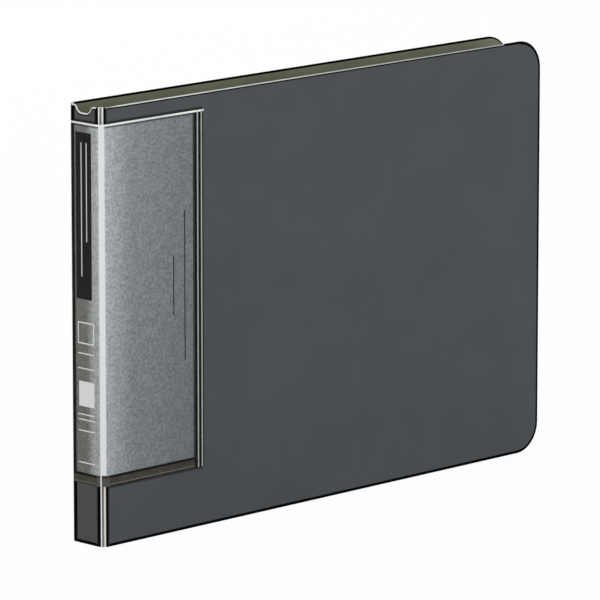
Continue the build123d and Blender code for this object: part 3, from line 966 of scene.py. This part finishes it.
def sleeve_film_finish():
    """Sleeve film: clear, with a painted highlight along its weld ridges; its fold at the base takes the base
    band's brown, with the black painted shadow line and a painted highlight on the fold.
    """
    made, tree, shader = new_material("sleeve_film")
    height, mottle = grain(tree, EMBOSS_SCALE, mottle_scale=45.0)
    cover = film_gloss(tree, shader, height, height, SLEEVE_HAZE)
    colour = blend_colour(tree, mottle, tone(214, 218, 214), tone(*FILM_WHITE))
    _, across, up = sheet_place(tree)
    ridge_highlight_masks = []
    # Painted highlight along the weld ridges
    for along in WELD_RIDGES:
        middle = FILM_FLAT + along
        ridge_highlight_masks.append(band(tree, across, middle - PRESSED_HALF, middle + PRESSED_HALF, PRESSED_SOFT))
    ridge_highlight = any_of(tree, ridge_highlight_masks)
    colour = blend_colour(tree, ridge_highlight, colour, tone(172, 182, 174))
    in_base = step_up(tree, up, BASE_WELD_TOP - FILM_SOFT, BASE_WELD_TOP + FILM_SOFT, 1.0, 0.0)
    fold_edge = FILM_FLAT + WELD_START
    fold = calc(tree, "MULTIPLY", band(tree, across, -fold_edge, fold_edge, FILM_SOFT), in_base)
    fold_colour = blend_colour(tree, base_shadow_line(tree, up), tone(72, 69, 58), tone(*SHADOW_BLACK))
    # Painted highlight on the fold at the base
    crest = band(tree, across, *FOLD_CREST, CREST_SOFT)
    fold_colour = blend_colour(tree, crest, fold_colour, tone(236, 238, 234))
    paint_edge = fold_edge + PAINT_LAP
    paint = patch(tree, across, up, (-paint_edge, paint_edge), (0.0, BASE_WELD_TOP + PAINT_LAP), FILM_SOFT)
    wire(tree, blend_colour(tree, paint, colour, fold_colour), shader.inputs["Base Color"])
    for mask in (ridge_highlight, fold):
        cover = any_of(tree, [cover, calc(tree, "MULTIPLY", mask, PRESSED_COVER)])
    wire(tree, cover, shader.inputs["Alpha"])
    return made


sleeve_film = sleeve_film_finish()
film_cut = sheet_plastic(
    "film_cut", tone(215, 220, 216), tone(240, 243, 240), rough=(0.25, 0.4), grain_scale=1500.0
)
sleeve_spine_half, sleeve_front_half = bent_pair(
    "sleeve", FILM_SPINE_END, FILM_FRONT_END, FILM_OUT, (film_low.z, film_high.z), FILM_THICKNESS,
    (sleeve_film,), WELD_RIDGES,
)
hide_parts("sleeve_spine_film", "sleeve_fold_film")
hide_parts("sleeve_front_film", "sleeve_fold_film")
lip_spine_half, lip_front_half = bent_pair(
    "sleeve_lip", FILM_SPINE_END, FILM_FRONT_END, FILM_OUT, (film_high.z - LIP_HEIGHT, film_high.z),
    LIP_THICKNESS, (film_cut,),
)


# Finishes of the solids that stay as they are
def dress(node, *materials):
    """Gives a CAD node its finish, and returns its mesh."""
    mesh = frame["nodes"][node].data
    mesh.materials.clear()
    for material in materials:
        mesh.materials.append(material)
    return mesh


def fused_film_finish():
    """Film welded to the cover: black with painted shade along the side and rear welds and in lines along the
    top and the foot of the base band, brownish in the rest of that band, where a painted highlight line runs
    above the foot."""
    made, tree, shader = new_material("fused_film")
    height, mottle = grain(tree, grain_scale=1500.0, mottle_scale=120.0)
    x, _, up = piece_axes(tree)
    brown = blend_colour(tree, step_up(tree, mottle, *NOISE_SPREAD), tone(58, 54, 48), tone(72, 68, 60))
    # Painted highlight line above the foot
    highlight_low, highlight_high = (film_low.z + limit for limit in PALE_LINE)
    colour = blend_colour(tree, band(tree, up, highlight_low, highlight_high, LINE_SOFT), brown, tone(98, 99, 90))
    # Painted shade along the foot, the top of the base band and beside the label
    line_high = film_low.z + FOOT_LINE
    foot_shadow = step_up(tree, up, line_high - LINE_SOFT, line_high + LINE_SOFT, 1.0, 0.0)
    label_end = FRONT_COVER_SCORE.x + LABEL_FRONT_END
    shade_beside_label = step_up(tree, x, label_end - LINE_SOFT, label_end + LINE_SOFT)
    weld_shade = any_of(tree, [base_shadow_line(tree, up), foot_shadow, shade_beside_label])
    wire(tree, blend_colour(tree, weld_shade, colour, tone(*SHADOW_BLACK)), shader.inputs["Base Color"])
    wire(tree, step_up(tree, height, *NOISE_SPREAD, low=0.35, high=0.5), shader.inputs["Roughness"])
    shader.inputs["Specular IOR Level"].default_value = 0.05
    set_relief(tree, shader, height, WELD_RELIEF)
    return made


def pocket_film_finish():
    """Pocket film: clear and lightly embossed, whiter and ribbed along its welded seams. Its noise is plain,
    as a look into the open book meets many films."""
    made, tree, shader = new_material("pocket_film")
    place = add(tree, "TexCoord").outputs["Object"]
    x, _, z = add(tree, "SeparateXYZ", Vector=place).outputs
    emboss = noise(tree, place, EMBOSS_SCALE, detail=0.0)
    clear_width = (pocket_low.x + SEAM_WIDTH, pocket_high.x - SEAM_WIDTH)
    clear_height = (pocket_low.z + SEAM_WIDTH, pocket_high.z + SEAM_WIDTH)
    clear = patch(tree, x, z, clear_width, clear_height, SEAM_SOFT)
    on_pocket = step_up(tree, x, pocket_low.x - SEAM_SOFT, pocket_low.x + SEAM_SOFT)
    seam = calc(tree, "SUBTRACT", on_pocket, clear)
    ribs = calc(tree, "SINE", calc(tree, "MULTIPLY", calc(tree, "ADD", x, z), 2 * math.pi / SEAM_PITCH))
    ribs = calc(tree, "MULTIPLY", seam, calc(tree, "MULTIPLY", ribs, RIB_RELIEF))
    cover = film_gloss(tree, shader, emboss, calc(tree, "ADD", emboss, ribs), POCKET_HAZE)
    cover = any_of(tree, [cover, calc(tree, "MULTIPLY", seam, SEAM_COVER)])
    colour = blend_colour(tree, emboss, tone(196, 200, 190), tone(*FILM_WHITE))
    wire(tree, blend_colour(tree, seam, colour, tone(240, 242, 238)), shader.inputs["Base Color"])
    wire(tree, cover, shader.inputs["Alpha"])
    return made


fused_film = fused_film_finish()
dress("sleeve_spine_weld", fused_film)
dress("sleeve_front_weld", fused_film)
binding_plastic = sheet_plastic(
    "binding_plastic", tone(178, 178, 168), tone(200, 200, 190), rough=(0.35, 0.5)
)
dress("binding_strip", binding_plastic)
pocket_film = pocket_film_finish()
for node in frame["nodes"]:
    if node.startswith("pocket"):
        for face in dress(node, pocket_film, film_cut).polygons:
            face.material_index = 1 if abs(face.normal.y) < CUT_SLOPE else 0
        # The films are clear, and a shadow ray would meet dozens of them
        frame["nodes"][node].visible_shadow = False


# Studio
def seen_mask(tree):
    """1 where the surroundings are seen, mirrored or seen through glass, 0 where they give light."""
    path = add(tree, "LightPath").outputs
    return any_of(tree, [path["Is Camera Ray"], path["Is Glossy Ray"], path["Is Transmission Ray"]])


def mixed_shader(tree, factor, first, second):
    """First shader where the factor is 0, second where it is 1."""
    made = add(tree, "MixShader")
    wire(tree, factor, made.inputs[0])
    wire(tree, first.outputs[0], made.inputs[1])
    wire(tree, second.outputs[0], made.inputs[2])
    return made.outputs[0]


def world_light():
    """Even white surroundings: white where they are seen or mirrored, softer as light."""
    world = bpy.data.worlds.new("studio")
    world.use_nodes = True
    bpy.context.scene.world = world
    tree = world.node_tree
    tree.nodes.clear()
    soft = add(tree, "Background", Color=WHITE, Strength=AMBIENT)
    white = add(tree, "Background", Color=WHITE, Strength=1.0)
    output = add(tree, "OutputWorld")
    wire(tree, mixed_shader(tree, seen_mask(tree), soft, white), output.inputs["Surface"])


def studio_floor():
    """White floor that keeps a share of the book's shadow."""
    bm = bmesh.new()
    bmesh.ops.create_grid(bm, x_segments=1, y_segments=1, size=FLOOR_SIZE)
    made, tree, shader = new_material("studio_floor")
    shader.inputs["Base Color"].default_value = WHITE
    shader.inputs["Roughness"].default_value = 1.0
    shader.inputs["Specular IOR Level"].default_value = 0.0
    glow = add(tree, "Emission", Color=WHITE, Strength=1.0)
    plain_white = calc(tree, "MULTIPLY", seen_mask(tree), 1 - SHADOW_SHARE)
    surface = mixed_shader(tree, plain_white, shader, glow)
    wire(tree, surface, tree.nodes["Material Output"].inputs["Surface"])
    floor = piece("studio_floor", bm, (made,))


def way_to(azimuth, elevation):
    """Unit vector from the book towards a place, with azimuth 0 in front of the book."""
    level = math.cos(elevation)
    return Vector((math.sin(azimuth) * level, -math.cos(azimuth) * level, math.sin(elevation)))


def aimed(name, data, way, distance):
    """Lamp or camera at a distance from the book, turned towards it."""
    made = bpy.data.objects.new(name, data)
    made.location = AIM + way * distance
    made.rotation_euler = way.to_track_quat("Z", "Y").to_euler()
    bpy.context.scene.collection.objects.link(made)
    return made


def softbox(name, azimuth, elevation, distance, power):
    """Square soft lamp; its angles are in degrees."""
    lamp = bpy.data.lights.new(name, "AREA")
    lamp.shape = "SQUARE"
    lamp.size = LAMP_SIZE
    lamp.energy = power
    aimed(name, lamp, way_to(math.radians(azimuth), math.radians(elevation)), distance)


def photo_camera():
    """Camera that the picture is taken with."""
    data = bpy.data.cameras.new("camera")
    data.lens = LENS
    data.sensor_width = SENSOR
    bpy.context.scene.camera = aimed("camera", data, way_to(AZIMUTH, ELEVATION), DISTANCE)


world_light()
studio_floor()
softbox("key", azimuth=-45, elevation=22, distance=1.5, power=7.5)
softbox("fill", azimuth=40, elevation=15, distance=1.5, power=2.8)
softbox("back", azimuth=150, elevation=35, distance=1.6, power=6.0)
photo_camera()
bpy.context.scene.view_settings.view_transform = "Standard"
bpy.context.scene.cycles.transparent_max_bounces = FILM_LAYERS
